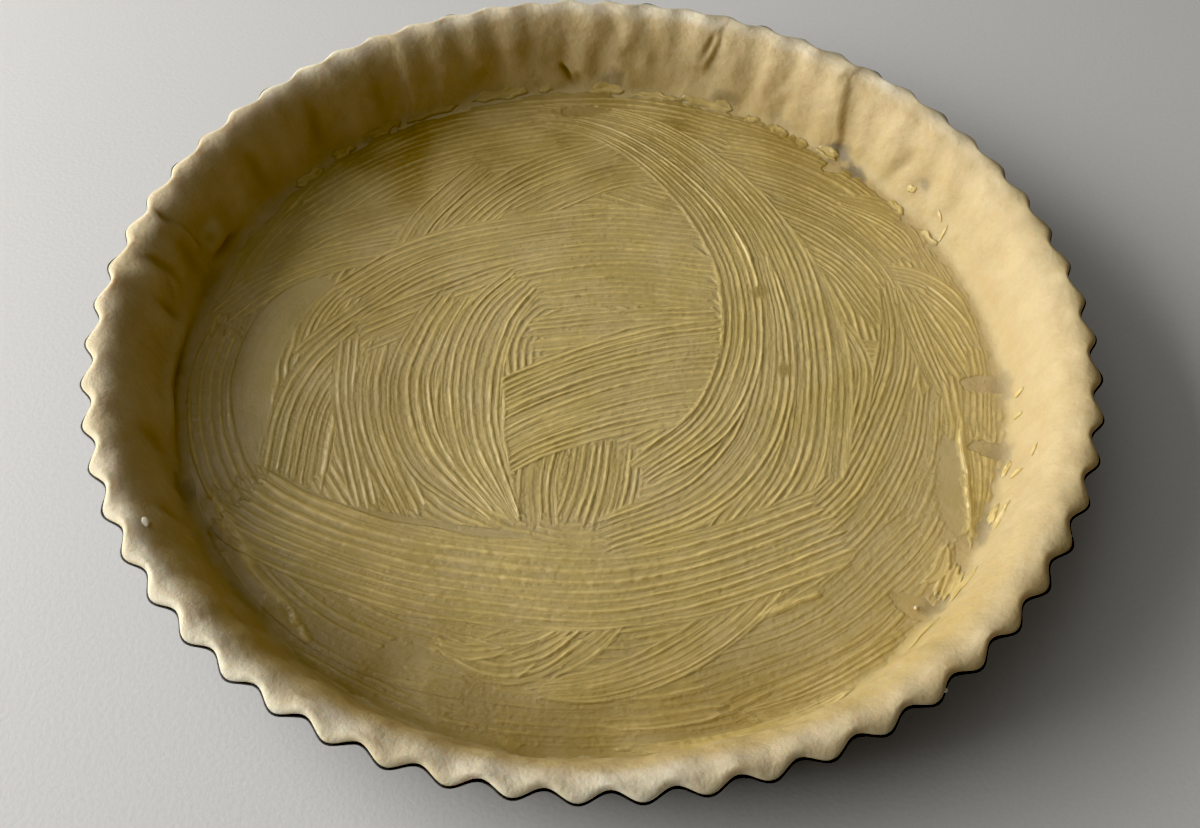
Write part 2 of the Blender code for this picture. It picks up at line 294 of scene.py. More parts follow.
# Thin or bare places of the mustard: middle, reach along, reach across, turn, thickness that is left
THIN_PLACES = (
    (100.4, -41, 19, 3.9, 84, 0.03),
    (86.5, -79, 6.5, 3, -25, -0.2),
    (101, -61, 3.6, 2, 70, -0.2),
    (80.5, 87, 5, 3, 35, -0.2),
    (115.5, -5.5, 6.5, 3.2, -8, -0.2),
    (115.5, -29, 7.5, 2.8, -14, -0.2),
    (-80, -88, 9, 4, -35, 0.04),
    (6, 121, 4, 3, 10, -0.3),
    (-8, 110, 9, 3, 5, 0.06),
    (-44, -97, 7, 4, 0, 0.06),
    (-24, -109, 7, 4.2, -75, 0.1),
)

# Small brown pools where the mustard is wettest: middle, reach along, reach across, turn
POOLS = (
    (-36, -109, 6, 3, -70),
    (-79, -88, 8, 3, -42),
    (-15, -119.5, 4.2, 1.2, -25),
    (2.5, -120.8, 2.8, 0.9, 8),
    (-68, -100.5, 2.2, 1.2, -20),
    (-62, -103, 3.2, 1.1, -40),
    (-50, -112, 7, 1.2, -26),
    (51, 28, 3, 2.4, 40),
    (57, -3, 2.2, 3.2, 0),
    (-98, -66, 6, 2.2, -50),
)

# Flat smears and blobs of mustard on the wall: angle, height, length, width, turn, thickness, ridges
WALL_SMEARS = (
    (28, 11.5, 5, 1.4, 25, 0.35, 1),
    (25.5, 8.5, 6.5, 1.3, 75, 0.4, 1),
    (34.5, 11.5, 4, 3, 0, 0.5, 1),
    (334.5, 10.4, 10.5, 3, 25, 0.8, 2),
    (335.6, 6.9, 8, 3.4, 10, 0.8, 2),
    (342.9, 6.8, 7.2, 2.6, 8, 0.75, 2),
    (343.2, 18, 4.4, 1.6, 20, 0.6, 1),
    (314.2, 9, 17, 3.4, 0, 0.6, 2),
    (323.3, 8, 15, 3.4, 4, 0.8, 2),
    (340.9, 12, 5.4, 1.8, 80, 0.7, 1),
    (354.5, 10.6, 5, 1.6, 80, 0.6, 1),
    (351, 9.6, 4.4, 1.4, 85, 0.6, 1),
)

# Dabs left by the side of the brush, laid last, with the same columns as the strokes
DABS = (
    (((92.4, -77.6), (99.6, -64.8)), (4.6, 5.6, 5.2), 2, 0.3, 0.5),
    (((87.6, -72.4), (93.6, -68.2), (97.4, -59)), (2, 4, 2.4), 1.6, 0.3, 0.3),
    (((6, -119.5), (30, -117.4), (50, -111.5), (70, -100.5)), (2, 4, 4.6, 2), 1.4, 0.34, 0.3),
)

# Bits of dough and flour left on the edge, the wall and the floor: angle, radius, height, length, width
CRUMBS = (
    (215.2, 131.6, 29.6, 3.4, 1.9),
    (345, 138, 30.2, 1.4, 0.8),
    (329.2, 138.1, 30.1, 2, 0.9),
    (326.2, 137.8, 30.2, 1.5, 0.8),
    (306.2, 138, 29.9, 3.4, 2),
    (293.5, 138, 30.1, 1.6, 0.8),
    (271.2, 136.6, 30.9, 2.4, 0.8),
    (267.2, 137.9, 30.3, 1.2, 0.8),
    (317.4, 116.8, 5.6, 1.2, 1),
    (338, 138, 30.2, 1.2, 0.6),
)

# Dabs along the foot of the wall: first and last angle, radius, width
FOOT_DABS = (
    (124.5, 115, 121.3, 3.4),
    (113.6, 102.8, 121.8, 3.6),
    (102.4, 97.8, 121.8, 2.6),
    (93.5, 86.2, 121.4, 3.4),
    (84.8, 77.2, 120.4, 3),
    (77.6, 67.6, 121.4, 3.8),
    (66.4, 62.2, 120.4, 2.8),
    (61.2, 57.2, 120.2, 3),
    (56.2, 52.9, 119.6, 3.2),
    (53, 47.2, 120.9, 4.2),
    (147.5, 140.8, 121, 3),
    (139.6, 133.8, 121.8, 3.4),
    (132.6, 125.2, 122.3, 3.4),
    (37, 32, 119.6, 2.4),
    (29, 24, 120.4, 2.6),
)


# Sizes and colours that a user would change


def length_setting(name, description, default):
    words = {"name": name, "description": description, "subtype": "DISTANCE", "unit": "LENGTH"}
    return FloatProperty(default=default, **words)


def color_setting(name, description, default):
    return FloatVectorProperty(name=name, description=description, default=default, subtype="COLOR")


class TinSettings(bpy.types.PropertyGroup):
    sheet: length_setting("Sheet", "Thickness of the tin's sheet", 0.0006)
    steps: IntProperty(name="Steps per flute", description="Mesh steps over one flute", default=16, min=6)
    coat: color_setting("Coating", "Colour of the non-stick coating", (0.016, 0.015, 0.016))
    worn: color_setting("Worn metal", "Colour where the coating is worn off", (0.2, 0.19, 0.18))


class PastrySettings(bpy.types.PropertyGroup):
    dough: color_setting("Dough", "Main colour of the raw dough", (0.66, 0.535, 0.305))
    butter: color_setting("Buttery dough", "Yellower patches of the dough", (0.6, 0.465, 0.25))
    thin: color_setting("Thin dough", "Greyish dough where the tin shows through", (0.27, 0.225, 0.15))
    grain: length_setting("Grain", "Height of the dough's fine grain", 0.00016)


class MustardSettings(bpy.types.PropertyGroup):
    thick: color_setting("Thick mustard", "Colour of a ridge", (0.87, 0.675, 0.275))
    film: color_setting("Mustard film", "Colour of the thinnest film over the dough", (0.62, 0.5, 0.27))
    cell: length_setting("Cell", "Size of the mesh cells", 0.00033)


class StageSettings(bpy.types.PropertyGroup):
    counter: color_setting("Counter", "Colour of the pale floor", (0.79, 0.785, 0.775))
    window: FloatProperty(
        name="Window light", description="Power of the soft light from the left", default=30.0, unit="POWER"
    )
    room: FloatProperty(name="Room light", description="Strength of the light from all round", default=0.1)


# Materials


class Value:
    """A socket of a material that Python's operators work on."""

    def __init__(self, finish, socket):
        self.finish = finish
        self.socket = socket

    def maths(self, operation, first, second):
        return self.finish.node("ShaderNodeMath", {"operation": operation}, {0: first, 1: second})

    def __add__(self, other):
        return self.maths("ADD", self, other)

    def __rsub__(self, other):
        return self.maths("SUBTRACT", other, self)

    def __mul__(self, other):
        return self.maths("MULTIPLY", self, other)

    __radd__ = __add__


class Finish:
    """A material that is being made."""

    def __init__(self, name, **constants):
        self.material = bpy.data.materials.new(name)
        self.material.use_nodes = True
        self.tree = self.material.node_tree
        self.shader = self.tree.nodes["Principled BSDF"]
        for socket, value in constants.items():
            self.shader.inputs[socket.replace("_", " ")].default_value = value

    def node(self, kind, settings=None, sockets=None, output=0):
        """Any node: its type, its settings, and the values or links of its sockets."""
        made = self.tree.nodes.new(kind)
        for name, value in (settings or {}).items():
            if name == "stops":
                self.set_stops(made.color_ramp, value)
            else:
                setattr(made, name, value)
        for socket, value in (sockets or {}).items():
            if isinstance(value, Value):
                self.tree.links.new(value.socket, made.inputs[socket])
            else:
                made.inputs[socket].default_value = value
        return Value(self, made.outputs[output])

    @staticmethod
    def set_stops(ramp, stops):
        while len(ramp.elements) < len(stops):
            ramp.elements.new(1.0)
        for element, (place, level) in zip(ramp.elements, stops):
            element.position = place
            element.color = (level, level, level, 1.0)

    def noise(self, millimetres, detail=3.0, roughness=0.55, stretch=(1, 1, 1), shift=0.0):
        """Noise whose lumps are about that many millimetres across."""
        place = self.node("ShaderNodeTexCoord", output=3)
        sockets = {"Vector": place, "Location": [shift] * 3, "Scale": stretch}
        place = self.node("ShaderNodeMapping", None, sockets)
        scale = 1.0 / (millimetres * MM)
        sockets = {"Vector": place, "Scale": scale, "Detail": detail, "Roughness": roughness}
        return self.node("ShaderNodeTexNoise", None, sockets)

    def ramp(self, value, *stops):
        return self.node("ShaderNodeValToRGB", {"stops": stops}, {"Fac": value})

    def patches(self, millimetres, none, full, **details):
        """Patches of noise: nothing below one level and all above another."""
        return self.ramp(self.noise(millimetres, **details), (none, 0.0), (full, 1.0))

    def mix(self, factor, first, second):
        """A mix of two colours."""
        first = first if isinstance(first, Value) else (*first, 1.0)
        second = second if isinstance(second, Value) else (*second, 1.0)
        return self.node("ShaderNodeMix", {"data_type": "RGBA"}, {0: factor, 6: first, 7: second}, output=2)

    def layers(self, color, *layers):
        """A colour with others laid over it in turn, each by its own amount."""
        for amount, over in layers:
            color = self.mix(amount, color, over)
        return color

    def attribute(self, name):
        return self.node("ShaderNodeAttribute", {"attribute_name": name}, output=2)

    def bump(self, height, distance, strength=1.0, under=None):
        sockets = {"Height": height, "Distance": distance, "Strength": strength}
        if under:
            sockets["Normal"] = under
        return self.node("ShaderNodeBump", None, sockets)

    def feed(self, **values):
        for socket, value in values.items():
            self.tree.links.new(value.socket, self.shader.inputs[socket.replace("_", " ")])
        return self.material


# Shapes worked out over whole arrays of points


@functools.cache
def lattice(seed):
    return np.random.default_rng(seed).uniform(-1.0, 1.0, (1024, 256))


def waves(across, along, seed, turn=0):
    """Smooth random hills and hollows from -1 to 1, one to a unit cell; across closes after a turn."""
    table = lattice(seed)
    column, row = np.floor(across).astype(int), np.floor(np.asarray(along, float)).astype(int)
    fx, fy = across - column, along - row
    fx, fy = fx * fx * (3 - 2 * fx), fy * fy * (3 - 2 * fy)
    near, far = (column % turn, (column + 1) % turn) if turn else (column % 1024, (column + 1) % 1024)
    low, high = row % 256, (row + 1) % 256
    bottom = table[near, low] * (1 - fx) + table[far, low] * fx
    top = table[near, high] * (1 - fx) + table[far, high] * fx
    return bottom * (1 - fy) + top * fy


def waves_round(angle, count, along, seed):
    """Waves with so many cells round the wall."""
    return waves(angle * WALL_RADIUS / WALL_GIRTH * count, along, seed, count)


def step(value, low, high):
    """0 below low, 1 above high and a soft rise between."""
    part = np.clip((value - low) / (high - low), 0.0, 1.0)
    return part * part * (3 - 2 * part)


def bell(value, width):
    return np.exp(-((value / width) ** 2))


def smooth_line(points, spacing):
    """Evenly spaced points on a smooth curve through the given ones, in any number of dimensions."""
    points = np.array(points, float)
    padded = np.vstack([2 * points[0] - points[1], points, 2 * points[-1] - points[-2]])
    part = np.linspace(0.0, 1.0, 24, endpoint=False)[:, None]
    pieces = []
    for a, b, c, d in zip(padded, padded[1:], padded[2:], padded[3:]):
        curve = 2 * b + (c - a) * part + (2 * a - 5 * b + 4 * c - d) * part**2
        pieces.append((curve + (3 * b - a - 3 * c + d) * part**3) / 2)
    dense = np.vstack([*pieces, points[-1:]])
    reach = np.concatenate([[0.0], np.cumsum(np.hypot(*np.diff(dense[:, :2], axis=0).T))])
    count = max(2, round(reach[-1] / spacing) + 1)
    even = np.linspace(0.0, reach[-1], count)
    return even, np.stack([np.interp(even, reach, column) for column in dense.T], axis=1)


def fluting(angle, turn=0.0):
    """The wave of the flutes round the tin: 1 on an outward flute, -1 between two."""
    return np.cos(FLUTES * (angle - math.radians(FLUTE_START)) + turn)


def unevenness(angle):
    """The slow wander of an edge pressed by hand, as in the part's source."""
    parts = ((0.42, 3, 0.7), (0.3, 7, 2.1), (0.18, 13, 4.0), (0.1, 23, 1.3))
    return sum(height * np.sin(count * angle + shift) for height, count, shift in parts)


SECTION_REACH, SECTION = smooth_line(PASTRY_SECTION, 0.05)
INNER_END = float(SECTION_REACH[np.argmax(SECTION[:, 1])])


def section_at(height):
    """How far along the section the inner wall has a height."""
    inner = SECTION_REACH <= INNER_END
    return np.interp(height, np.maximum.accumulate(SECTION[inner, 1]), SECTION_REACH[inner])


def turned(across, up, turn):
    """Coordinates in a frame turned by some degrees."""
    c, s = math.cos(math.radians(turn)), math.sin(math.radians(turn))
    return across * c + up * s, up * c - across * s


def round_distance(angle, degrees):
    """Signed distance round the case from an angle, in millimetres along the wall."""
    return WALL_RADIUS * ((angle - math.radians(degrees) + math.pi) % math.tau - math.pi)


def hand_marks(angle, reach, height):
    """What hands did to the wall: how far it stands back in millimetres, painted shade for its creases, lap
    edges and dents, and painted light for its swellings.
    """
    marks = 0.7 * unevenness(angle)
    sizes = ((0.65, 54, 13, 21), (0.4, 96, 22, 27), (0.26, 150, 5.5, 22), (0.085, 380, 2.2, 23))
    for depth, count, tall, seed in sizes:
        marks = marks + depth * waves_round(angle, count, reach / tall, seed)
    shaded_creases, lit_swellings = np.zeros((2, len(marks)))
    for low, high, thickness, run, lowest in LAPS:
        edge = low + (high - low) * np.clip((height - FLOOR_TOP) / WALL_RISE, 0, 1)
        edge = edge + 0.35 * waves(reach / 4.0, 0.5, 31)
        beyond = ((np.degrees(angle) - edge + 180.0) % 360.0 - 180.0) / run
        above = step(height, lowest - 2.0, lowest + 2.0)
        marks = marks - thickness * step(beyond, -0.04, 0.05) * np.clip(1.0 - beyond, 0, 1) ** 1.5 * above
        # Painted shade: a dark line along the edge of each lap, and below, darkening in each dent
        shaded_creases = shaded_creases + 0.6 * bell(beyond * run + 0.15, 0.28) * above
    for degrees, level, wide, tall, turn, depth in WALL_MARKS:
        across, up = turned(round_distance(angle, degrees), reach - section_at(level), turn)
        mark = depth * np.exp(-((across / wide) ** 2) - (up / tall) ** 2)
        marks = marks - mark
        shaded_creases = shaded_creases + np.clip(-mark, 0, 1)
        lit_swellings = lit_swellings + np.clip(mark, 0, 1)
    return marks, np.clip(shaded_creases - 0.7 * lit_swellings, 0, 1), np.clip(lit_swellings, 0, 1)


def pastry_point(angle, reach):
    """The surface of the pastry at an angle and a distance along its section: x, y, z in millimetres."""
    radius, height, fluted, handled, sagging = (np.interp(reach, SECTION_REACH, part) for part in SECTION.T)
    outer = step(reach, INNER_END - 5.0, INNER_END + 1.0)
    turn = 1.1 * waves_round(angle, 24, reach / 12.0, 26)
    inner_wave = fluting(angle, turn * (1 - outer))
    liveliness = 1.0 + 0.6 * waves_round(angle, 31, reach / 14.0, 11)
    liveliness = liveliness + 0.3 * waves_round(angle, FLUTES, reach / 20.0, 13)
    back = 0.25 + 0.75 * np.maximum(0.0, np.sin(angle)) ** 2
    showing = fluted * (outer + (1 - outer) * back * BACK_WAVES * liveliness)
    radius = radius + FLUTE_DEPTH / 2 * showing * inner_wave
    radius = radius + handled * hand_marks(angle, reach, height)[0]
    height = height + 0.35 * handled * unevenness(angle * 2 + 1.0) * step(height, 6.0, 20.0)
    sag = 0.42 * fluting(angle) * (1 + 0.3 * waves_round(angle, FLUTES, 0, 12))
    sag = sag - 0.36 * waves_round(angle, 90, 0, 24)
    height = height - sagging * sag + 0.03 * handled * waves_round(angle, 500, reach / 1.6, 25)
    return radius * np.cos(angle), radius * np.sin(angle), height


def along_stroke(points, x, y, width):
    """The points near a line: which, their place along it and across it, the line's length, and how much it
    runs sideways there."""
    reach, line = smooth_line(points, 1.0)
    margin = width / 2 + 3.0
    low, high = line.min(axis=0) - margin, line.max(axis=0) + margin
    near = np.flatnonzero((x > low[0]) & (x < high[0]) & (y > low[1]) & (y < high[1]))
    px, py = x[near].astype(np.float32), y[near].astype(np.float32)
    best = np.full(len(near), np.inf, np.float32)
    which = np.zeros(len(near), int)
    for index, (cx, cy) in enumerate(line.astype(np.float32)):
        distance = (px - cx) ** 2 + (py - cy) ** 2
        closer = distance < best
        best[closer] = distance[closer]
        which[closer] = index
    close = best < margin**2
    near, which, px, py = near[close], which[close], px[close], py[close]
    tangent = np.gradient(line, axis=0)
    tangent /= np.linalg.norm(tangent, axis=1)[:, None]
    dx, dy = px - line[which, 0], py - line[which, 1]
    tx, ty = tangent[which].T
    return near, reach[which] + dx * tx + dy * ty, tx * dy - ty * dx, reach[-1], np.abs(tx)


def brush(field, x, y, stroke, number, extra=0.0):
    """One stroke of the brush over what is there: a thin film with ridges, and a bead along its edges."""
    points, widths, pitch, ridge_height, bead = stroke
    widths = np.atleast_1d(widths).astype(float)
    width = widths.max()
    near, along, across, length, sideways = along_stroke(points, x, y, width)
    narrowed = np.interp(along / length, np.linspace(0, 1, len(widths)), widths / width)
    chances = lattice(100 + number)
    shift = 17.3 * number
    half = narrowed * width / 2 * (1 + 0.07 * waves(along / 14.0, shift, 41))
    half = half - 1.1 * (1 - step(np.minimum(along, length - along), 0.0, min(12.0, length / 4)))
    ragged = 2.8 * waves(across / 1.3, shift, 42) + 1.6 * waves(across / 0.6, shift, 43)
    ragged = ragged * min(1.0, length / 20)
    lengthwise = step(along + ragged, 0.3, 2.6) * step(length - along + ragged, 0.3, 3.0)
    inside = step(half - np.abs(across), -0.2, 0.5) * lengthwise
    spread = across / narrowed
    place = spread + 0.3 * pitch * waves(spread / (1.7 * pitch), shift, 44)
    place = place + 0.3 * pitch * waves(spread / (2.6 * pitch), along / 34.0 + shift, 45)
    place = place + 0.12 * waves(along / 5.0, across / pitch + shift, 50)
    phase = place / pitch + 0.37 * number
    ridge = np.round(phase).astype(int)
    distance = (phase - ridge) * pitch
    chance = chances[ridge % 1024, 7]
    strength = 0.8 + 0.36 * chance + 0.34 * waves(along / 13.0 + 5.1 * ridge, ridge * 0.37 + shift, 46)
    lumps = 0.92 + 0.3 * waves(along / 1.9 + 9.7 * ridge, ridge * 0.61 + shift, 54)
    strength = np.maximum(strength, 0.05) * lumps
    crest = bell(distance * narrowed, 0.46 + 0.1 * chances[ridge % 1024, 9])
    second = bell((pitch / 2 - np.abs(distance)) * narrowed, 0.34)
    second = second * step(waves(along / 15.0 + 3.3 * ridge, shift, 47), -0.5, 0.5)
    swell = 0.5 + 0.5 * np.cos(math.tau * phase)
    ridge_height = ridge_height * (0.78 + 0.5 * sideways)
    film = 0.035 + 0.16 * ridge_height + 0.03 * waves(across / 5.0, along / 11.0 + shift, 48)
    laid = film + extra + ridge_height * (strength * (0.62 * crest + 0.14 * swell) + 0.22 * second)
    edge = bell(np.abs(across) - half + 0.4, 0.5) * lengthwise
    edge = edge * bead * (0.5 + 0.5 * waves(along / 6.0, np.sign(across) * 3.0 + shift, 49))
    thickness = field["thickness"]
    thickness[near] = thickness[near] * (1 - inside) + laid * inside + np.maximum(edge, 0.0)
    under = near[inside > 0.5]
    field["across"][under] = spread[inside > 0.5]
    field["along"][under] = along[inside > 0.5]
    field["stroke"][under] = number + 1


def push_bead(thickness, x, y, points, width, height, number):
    """A line of mustard pushed up beside the brush."""
    near, along, across, length, _ = along_stroke(points, x, y, width)
    ends = step(along, -0.4, 2.0) * step(length - along, -0.4, 2.0)
    wander = 0.35 * waves(along / 5.0, number, 51)
    body = bell(across - wander, width / 2 * (1 + 0.3 * waves(along / 3.0, number, 52)))
    thickness[near] += height * body * ends * (0.8 + 0.35 * waves(along / 2.4, number, 53))


def mustard_edge(angle):
    """Radius of the mustard's uneven edge."""
    around = angle * RING_RADIUS / RING_GIRTH
    edge = 118.6 + 1.1 * waves(around * 40, 0, 65, 40) + 0.7 * waves(around * 150, 0, 66, 150)
    edge = edge + 4.5 * step(-np.sin(angle), 0.5, 0.9) + 1.6 * step(np.sin(angle), 0.4, 0.9)
    edge = edge + 2.4 * step(-np.cos(angle), 0.6, 0.95)
    fine = 1.2 * waves(around * 230, 0, 67, 230) + 0.8 * waves(around * 420, 0, 68, 420)
    return edge + fine * (0.2 + 0.8 * step(np.cos(angle), -0.2, 0.5)) + 1.5 * step(np.cos(angle), 0.7, 0.95)


def mustard_field(x, y):
    """The brushed mustard at some points: its thickness, below zero where there is none, where each point
    lies across and along the last stroke over it, that stroke's number, and how much its pools and a painted
    shade towards the back and front walls darken it."""
    angle, radius = np.arctan2(y, x), np.hypot(x, y)
    rings = radius / 2.4 + 0.9 * waves(x / 26.0, y / 26.0, 58) + 0.25 * waves(x / 7.0, y / 7.0, 59)
    first = 0.12 + 0.05 * waves(x / 9.0, y / 9.0, 61) + 0.03 * waves(x / 3.1, y / 3.1, 62)
    ridges = (0.5 + 0.5 * np.cos(math.tau * rings)) ** 2
    first = first + 0.24 * ridges * (0.8 + 0.5 * waves(x / 5.0, y / 5.0, 60))
    field = {"thickness": first, "across": radius.copy(), "along": RING_RADIUS * angle}
    field["stroke"], pool = np.zeros((2, len(x)))
    for number, stroke in enumerate(STROKES):
        brush(field, x, y, stroke, number)
    thickness = field["thickness"]
    for number, (points, width, height) in enumerate(BEADS):
        push_bead(thickness, x, y, points, width, height, number)
    for mx, my, reach_along, reach_across, turn, left in THIN_PLACES:
        along, across = turned(x - mx, y - my, turn)
        distance = np.hypot(along / reach_along, across / reach_across)
        distance = distance + 0.2 * waves(x / 2.3, y / 2.3, 63) + 0.12 * waves(x / 0.9, y / 0.9, 64)
        there = step(1.25 - distance, 0.0, 0.5)
        thickness = thickness * (1 - there) + left * there
    for mx, my, reach_along, reach_across, turn in POOLS:
        along, across = turned(x - mx, y - my, turn)
        distance = np.hypot(along / reach_along, across / reach_across) + 0.3 * waves(x / 2.6, y / 2.6, 76)
        pool = np.maximum(pool, step(1.4 - distance, 0.0, 1.0))
    thickness = thickness * (1 - pool) + 0.2 * pool
    # Painted shade: the mustard is darkened towards the back wall, towards the front wall and in a band on
    # the left, and this goes out with the pools
    wet = 1.2 * step(y, 30.0, 95.0) + 0.9 * step(-y, 70.0, 115.0)
    wet = wet + 0.6 * step(-x, 25.0, 60.0) * step(x, -108.0, -85.0)
    field["pool"] = np.maximum(pool, wet * (0.78 + 0.4 * waves(x / 13.0, y / 13.0, 77)))
    beyond = mustard_edge(angle) - radius
    thickness = thickness * (0.3 + 0.7 * step(beyond, -0.2, 5.0))
    inside = step(beyond, -3.5, 2.0)
    field["thickness"] = thickness * inside - 0.3 * (1 - inside)
    for number, dab in enumerate(DABS):
        brush(field, x, y, dab, FIRST_DAB + number, 0.15)
    for number, (first_angle, last_angle, middle, width) in enumerate(FOOT_DABS):
        turn = np.radians(np.linspace(first_angle, last_angle, 9))
        wander = middle + 0.4 * lattice(99)[number, :9]
        line = np.stack([wander * np.cos(turn), wander * np.sin(turn)], axis=1)
        widths = width * (0.85 + 0.25 * lattice(98)[number, :9])
        brush(field, x, y, (line, widths, 1.3, 0.42, 0.2), FIRST_FOOT_DAB + number, 0.06)
    thickness = field["thickness"]
    thickness = thickness * (1 + 0.2 * waves(x / 1.7, y / 1.7, 73) * step(radius, 116.0, 119.0))
    grains = 0.03 * waves(x / 1.05, y / 1.05, 71) + 0.02 * waves(x / 0.6, y / 0.6, 72)
    field["thickness"] = thickness + grains * step(thickness, 0.0, 0.1)
    return field


# Meshes


def new_object(name, mesh, material):
    made = bpy.data.objects.new(name, mesh)
    mesh.materials.append(material)
    bpy.context.scene.collection.objects.link(made)
    return made


def to_mesh(form, name):
    """A smooth-shaded mesh from a bmesh whose faces already agree."""
    mesh = bpy.data.meshes.new(name)
    form.to_mesh(mesh)
    form.free()
    mesh.shade_smooth()
    return mesh


def finish_piece(made, slot, *nodes):
    """Puts a finished piece on the root body and hides the imported parts that it stands for."""
    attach(made, "root")
    if nodes:
        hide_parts(*nodes)


def read_layer(form, layer):
    return np.array([vert[layer] for vert in form.verts])


def place_verts(form, x, y, z):
    for vert, px, py, pz in zip(form.verts, (x * MM).tolist(), (y * MM).tolist(), (z * MM).tolist()):
        vert.co = (px, py, pz)


def spin_section(form, section, steps):
    """Spins a section round +Z, with some steps to a flute, and keeps each row's number in a layer."""
    row = form.verts.layers.float.new("row")
    chain = []
    for number, (radius, height) in enumerate(section):
        vert = form.verts.new((radius * MM, 0.0, height * MM))
        vert[row] = number
        chain.append(vert)
    edges = [form.edges.new(pair) for pair in zip(chain, chain[1:])]
    turn = {"cent": (0, 0, 0), "axis": (0, 0, 1), "angle": math.tau, "steps": FLUTES, "use_merge": True}
    bmesh.ops.spin(form, geom=chain + edges, **turn)
    rings = [edge for edge in form.edges if abs(edge.verts[0][row] - edge.verts[1][row]) < 0.5]
    bmesh.ops.subdivide_edges(form, edges=rings, cuts=steps - 1, use_grid_fill=True)
    return row


def close_holes(form):
    bmesh.ops.holes_fill(form, edges=[edge for edge in form.edges if edge.is_boundary], sides=0)
    bmesh.ops.recalc_face_normals(form, faces=form.faces)


def set_attribute(mesh, name, values):
    attribute = mesh.attributes.new(name, "FLOAT", "POINT")
    attribute.data.foreach_set("value", np.asarray(values, np.float32))


def angles_of(form):
    return np.array([math.atan2(vert.co.y, vert.co.x) for vert in form.verts])


# The tin


def tin_rows(sheet):
    """The tin's section from underside over rim to floor: radius, height, share of the fluting."""
    outer = RIM_RADIUS
    slope = (outer - FOOT_RADIUS - BEND_WIDTH) / (TIN_HEIGHT - BEND_HEIGHT)

    def wall(height, inset=0.0):
        radius = FOOT_RADIUS + BEND_WIDTH - inset + slope * (height - BEND_HEIGHT)
        return radius, height, min(1.0, 0.78 + 0.03 * height)

    rows = [(90.0, 0.0, 0.0), (112.0, 0.0, 0.1), (122.0, 0.02, 0.45), (124.4, 0.1, 0.55), (125.6, 0.45, 0.6)]
    rows += [(126.5, 1.1, 0.68), (127.6, 2.2, 0.78)]
    rows += [wall(height) for height in (4.0, 7.0, 11.0, 15.0, 19.0, 23.0, 26.0, 28.4, 29.4)]
    rim = ((0.05, 29.8), (0.18, 29.95), (sheet / 2, 30.0))
    rim += ((sheet - 0.16, 29.95), (sheet - 0.03, 29.8), (sheet + 0.1, 29.4))
    rows += [(outer - inset, height, 1.0) for inset, height in rim]
    rows += [wall(height, sheet) for height in (28.0, 24.0, 16.0, 8.0, 2.6)]
    rows += [(125.4, 0.95, 0.62), (123.4, 0.66, 0.5), (112.0, 0.6, 0.1), (90.0, 0.6, 0.0)]
    return np.array(rows)


def build_tin(settings):
    rows = tin_rows(settings.sheet / MM)
    form = bmesh.new()
    row_layer = spin_section(form, rows[:, :2], settings.steps)
    row = read_layer(form, row_layer)
    angle = angles_of(form)
    radius, height, share = (np.interp(row, np.arange(len(rows)), part) for part in rows.T)
    radius = radius + FLUTE_DEPTH / 2 * share * fluting(angle)
    height = height + 0.12 * step(height, 26.0, 30.0) * waves_round(angle, 60, 0, 81)
    height = height - 0.08 * step(height, 26.0, 30.0)
    place_verts(form, radius * np.cos(angle), radius * np.sin(angle), height)
    close_holes(form)
    mesh = to_mesh(form, "tin_dish")
    mesh.set_sharp_from_angle(angle=math.radians(60))
    mesh.attributes.remove(mesh.attributes["row"])
    heights = np.empty(len(mesh.vertices) * 3)
    mesh.vertices.foreach_get("co", heights)
    set_attribute(mesh, "rim", step(heights[2::3] / MM, 28.8, 30.0))
    finish_piece(new_object("tin_dish", mesh, coated_metal(settings)), "tin", "tin")


def coated_metal(settings):
    """Dark non-stick coating, satin, with dull smudges and a little wear along the rim's edge."""
    finish = Finish("dark coated metal", IOR=1.5)
    smudges = finish.noise(14, detail=4, roughness=0.6)
    scratches = finish.noise(0.9, detail=2, stretch=(1, 1, 0.08))
    worn = finish.patches(2.4, 0.56, 0.66, detail=5, roughness=0.7) * finish.attribute("rim")
    color = finish.mix(worn * 0.6, settings.coat, settings.worn)
    color = finish.mix(finish.ramp(smudges, (0.45, 0.0), (0.75, 0.5)), color, (0.032, 0.03, 0.03))
    rough = 0.34 + smudges * 0.16 + scratches * 0.06
    bump = finish.bump(finish.noise(0.7, detail=2), 0.00003, 0.6)
    return finish.feed(Base_Color=color, Roughness=rough, Metallic=worn * 0.8, Normal=bump)


# The pastry


def pastry_reaches():
    """The distances along the section at which the pastry has a row of vertices."""
    foot, lip, outside = float(section_at(5.3)), float(section_at(29.0)), INNER_END + EDGE_WIDTH
    floor = np.linspace(0.0, foot, 18, endpoint=False)
    wall = np.linspace(foot, lip, 36, endpoint=False)
    roll = np.linspace(lip, outside, 24, endpoint=False)
    hidden = np.interp((0.0, 0.12, 0.4, 0.72, 0.9, 0.96, 1.0), (0, 1), (outside, SECTION_REACH[-1]))
    return np.concatenate([floor, wall, roll, hidden])


